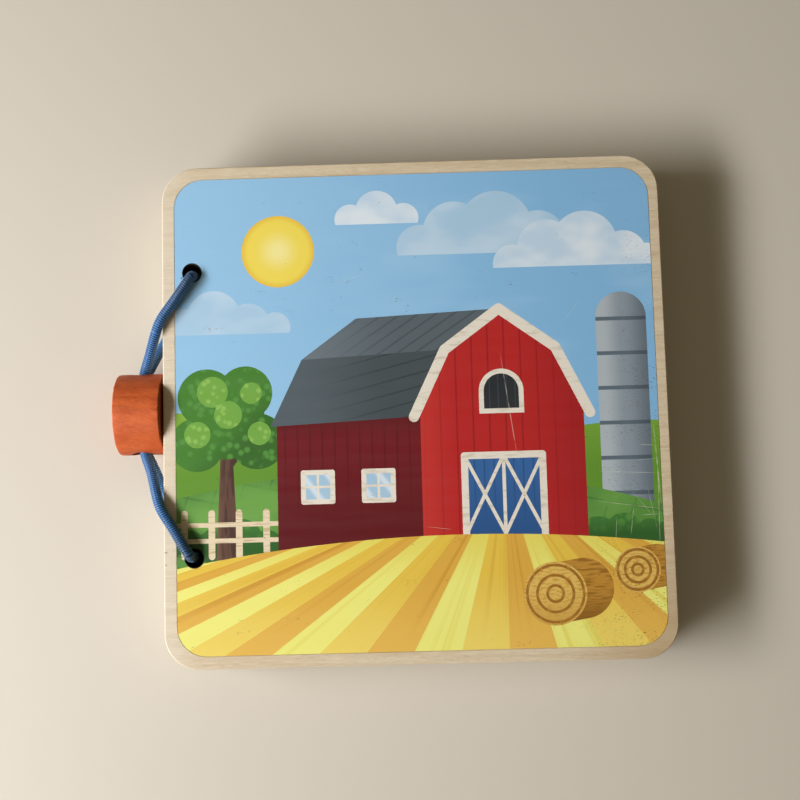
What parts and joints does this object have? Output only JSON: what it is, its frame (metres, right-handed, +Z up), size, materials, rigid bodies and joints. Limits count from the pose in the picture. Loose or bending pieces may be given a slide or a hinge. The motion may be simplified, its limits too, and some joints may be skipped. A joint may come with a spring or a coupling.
{
  "type": "wooden picture book",
  "caption": "Square wooden picture book: plywood boards bound at the spine by a loop of elastic cord with a stained bead, a printed farm picture on the cover.",
  "frame": {"origin": "under the middle of the boards, on the plane that the closed book lies on", "axes": "+X from the spine to the fore edge, +Y from foot to head, +Z up out of the printed cover"},
  "size_m": [0.1426, 0.13, 0.0214],
  "materials": {
    "plywood": "pale plywood, sanded and clear-coated, satin",
    "stained_wood": "orange water stain, open pores, matt",
    "elastic": "ribbed blue braid over a rubber core",
    "ink_sky": "printed ink under a satin varnish",
    "ink_sun": "printed ink under a satin varnish",
    "ink_far_clouds": "printed ink under a satin varnish",
    "ink_near_clouds": "printed ink under a satin varnish",
    "ink_far_hills": "printed ink under a satin varnish",
    "ink_silo": "printed ink under a satin varnish",
    "ink_silo_bands": "printed ink under a satin varnish",
    "ink_near_hill": "printed ink under a satin varnish",
    "ink_hedge": "printed ink under a satin varnish",
    "ink_tree_trunk": "printed ink under a satin varnish",
    "ink_tree_crown": "printed ink under a satin varnish",
    "ink_tree_leaves": "printed ink under a satin varnish",
    "ink_fence": "printed ink under a satin varnish",
    "ink_barn_side": "printed ink under a satin varnish",
    "ink_lower_roof": "printed ink under a satin varnish",
    "ink_upper_roof": "printed ink under a satin varnish",
    "ink_barn_front": "printed ink under a satin varnish",
    "ink_barn_doors": "printed ink under a satin varnish",
    "ink_barn_loft": "printed ink under a satin varnish",
    "ink_window_panes": "printed ink under a satin varnish",
    "ink_barn_trim": "printed ink under a satin varnish",
    "ink_plain_furrows": "printed ink under a satin varnish",
    "ink_ochre_furrows": "printed ink under a satin varnish",
    "ink_pale_furrows": "printed ink under a satin varnish",
    "ink_bale_sides": "printed ink under a satin varnish",
    "ink_bale_ends": "printed ink under a satin varnish",
    "ink_bale_rings": "printed ink under a satin varnish"
  },
  "bodies": {
    "back_cover": {"back_cover": "plywood", "bead": "stained_wood", "elastic_cord": "elastic"},
    "inner_page": {"inner_page": "plywood"},
    "front_cover": {"front_cover": "plywood", "print_sky": "ink_sky", "print_sun": "ink_sun", "print_far_clouds": "ink_far_clouds", "print_near_clouds": "ink_near_clouds", "print_far_hills": "ink_far_hills", "print_silo": "ink_silo", "print_silo_bands": "ink_silo_bands", "print_near_hill": "ink_near_hill", "print_hedge": "ink_hedge", "print_tree_trunk": "ink_tree_trunk", "print_tree_crown": "ink_tree_crown", "print_tree_leaves": "ink_tree_leaves", "print_fence": "ink_fence", "print_barn_side": "ink_barn_side", "print_lower_roof": "ink_lower_roof", "print_upper_roof": "ink_upper_roof", "print_barn_front": "ink_barn_front", "print_barn_doors": "ink_barn_doors", "print_barn_loft": "ink_barn_loft", "print_window_panes": "ink_window_panes", "print_barn_trim": "ink_barn_trim", "print_plain_furrows": "ink_plain_furrows", "print_ochre_furrows": "ink_ochre_furrows", "print_pale_furrows": "ink_pale_furrows", "print_bale_sides": "ink_bale_sides", "print_bale_ends": "ink_bale_ends", "print_bale_rings": "ink_bale_rings"}
  },
  "joints": [
    {"name": "page_hinge", "type": "hinge", "parent": "back_cover", "child": "inner_page", "pos_m": [-0.0675, 0, 0.02], "axis": [0, -1, 0], "range_deg": [0, 180], "deforming": ["elastic_cord"]},
    {"name": "cover_hinge", "type": "hinge", "parent": "inner_page", "child": "front_cover", "pos_m": [-0.0675, 0, 0.02], "axis": [0, -1, 0], "range_deg": [0, 180], "deforming": ["elastic_cord"]}
  ]
}
